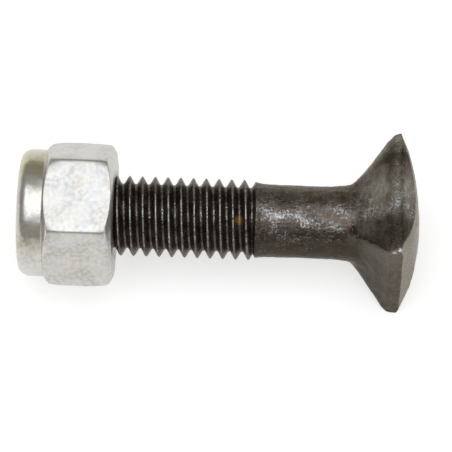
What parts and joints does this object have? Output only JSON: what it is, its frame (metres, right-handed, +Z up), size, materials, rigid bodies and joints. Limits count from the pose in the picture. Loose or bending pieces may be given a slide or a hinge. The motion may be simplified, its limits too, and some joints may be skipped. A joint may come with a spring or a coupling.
{
  "type": "square-headed belt screw with lock nut",
  "caption": "Countersunk screw with a domed square head that keys into its seat, a plain shank, a rolled thread and a high hexagonal lock nut with a crimped collar over its locking ring.",
  "frame": {"origin": "on the ground under the middle of the lying screw", "axes": "+X along the screw as it lies, from the nut to the head, and +Z up; the screw's own axis falls 1.15 degrees towards the head"},
  "size_m": [0.0392, 0.0144, 0.0142],
  "materials": {
    "blackened_steel": "forged and heat-blackened, oiled, with pitted scale and worn edges",
    "zinc_plated_steel": "bright zinc plate, mottled and slightly stained",
    "nylon": "plain moulded"
  },
  "bodies": {
    "screw": {"belt_screw": "blackened_steel"},
    "ring": {"nylon_insert": "nylon"},
    "nut": {"lock_nut": "zinc_plated_steel"}
  },
  "joints": [
    {"name": "nut_travel", "type": "slide", "parent": "screw", "child": "ring", "axis": [0.9998, 0, -0.0201], "range_m": [-0.004, 0.0125]},
    {"name": "nut_turn", "type": "hinge", "parent": "ring", "child": "nut", "pos_m": [-0.0102, 0, 0.00701], "axis": [0.9998, 0, -0.0201], "range_deg": [-1152, 3600]}
  ],
  "couplings": [
    {"joint": "nut_travel", "follows": "nut_turn", "m_per_rad": 0.00019894}
  ]
}
